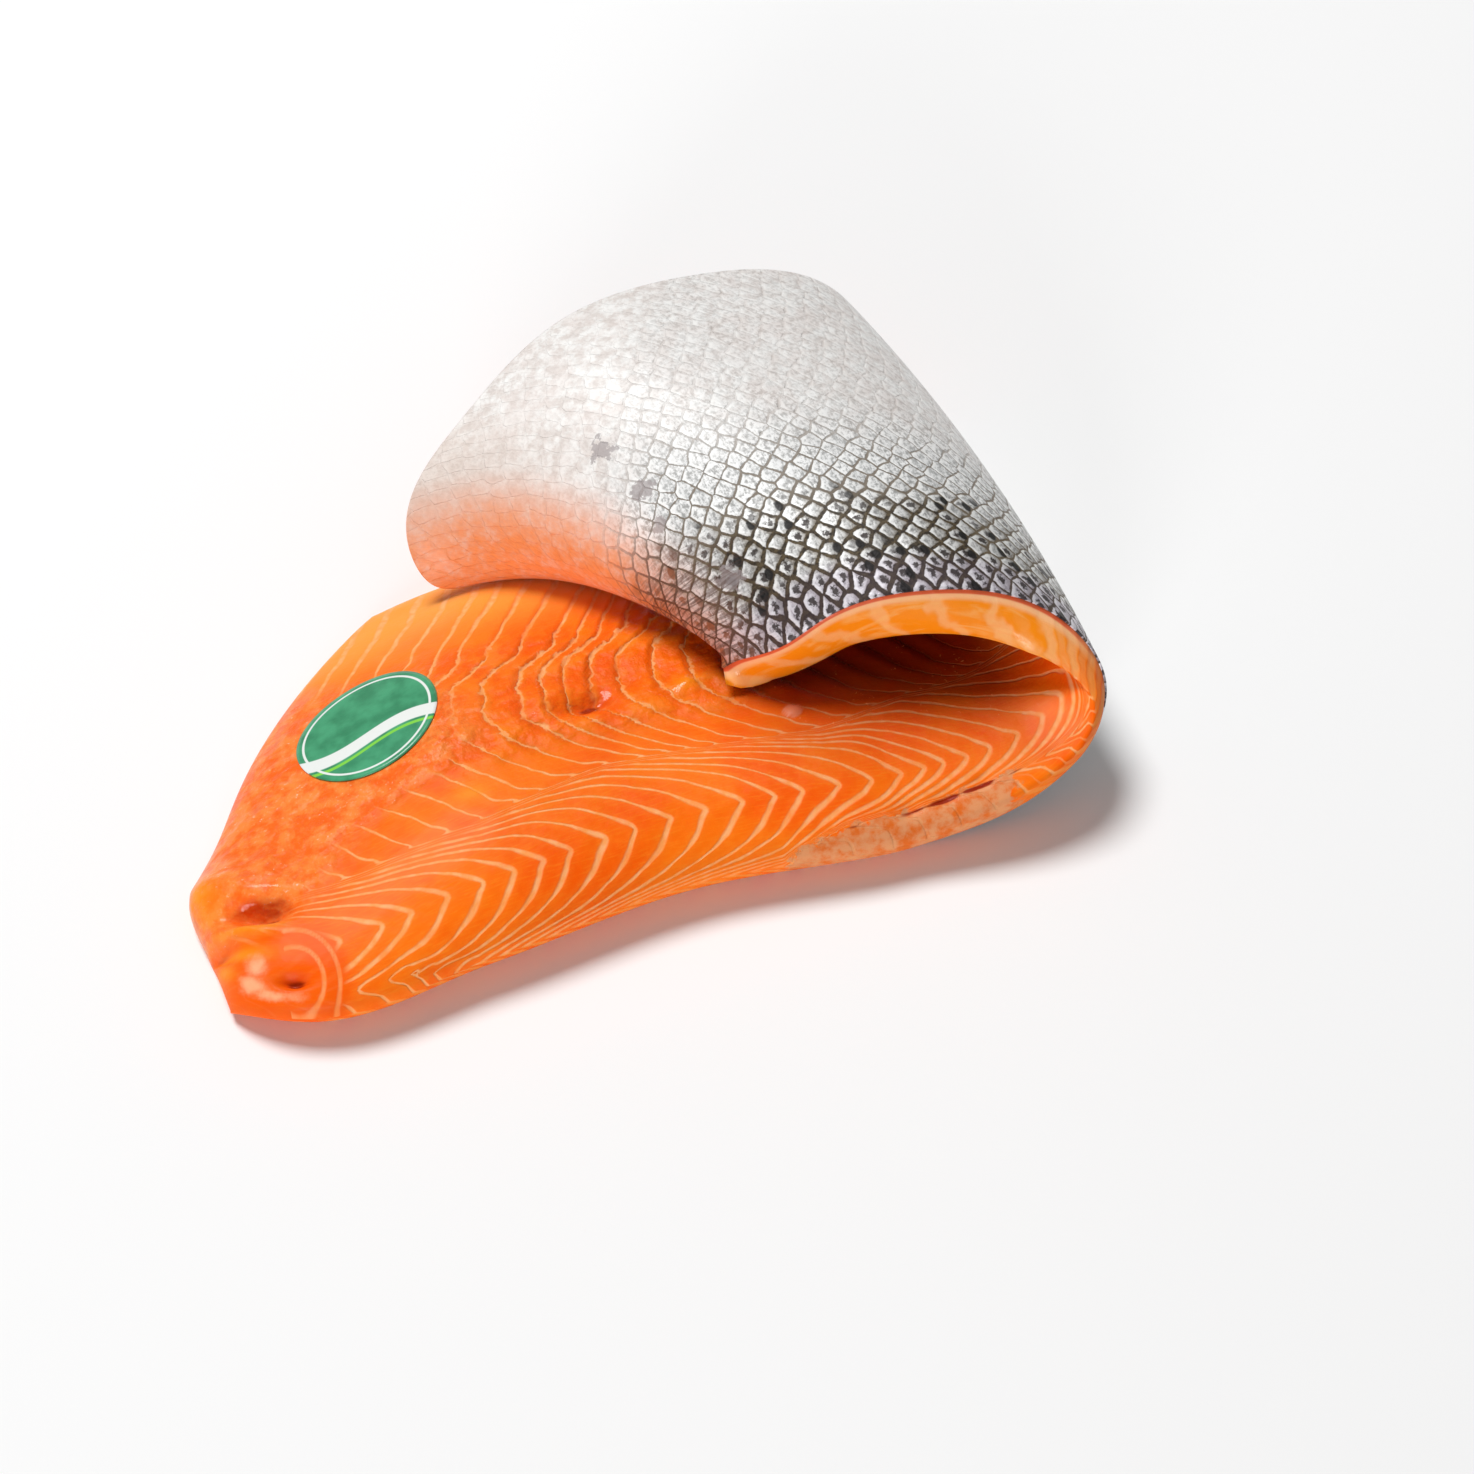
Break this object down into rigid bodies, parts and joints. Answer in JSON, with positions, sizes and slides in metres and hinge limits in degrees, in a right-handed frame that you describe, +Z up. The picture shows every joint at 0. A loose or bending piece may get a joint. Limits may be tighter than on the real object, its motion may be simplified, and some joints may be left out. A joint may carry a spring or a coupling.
{
  "type": "salmon fillet",
  "caption": "Side of raw salmon, skin down at the head end and folded back on itself at the tail end, with a round sticker on the flesh.",
  "frame": {"origin": "under the middle of the folded fillet, on the surface it rests on", "axes": "+X from the head end towards the bend, +Y from the dorsal edge towards the belly edge, +Z up"},
  "size_m": [0.3056, 0.2243, 0.0877],
  "materials": {
    "flesh": "wet satin",
    "skin": "wet silver scales",
    "label": "satin"
  },
  "bodies": {
    "root": {"fillet": "flesh", "label": "label"}
  },
  "joints": []
}
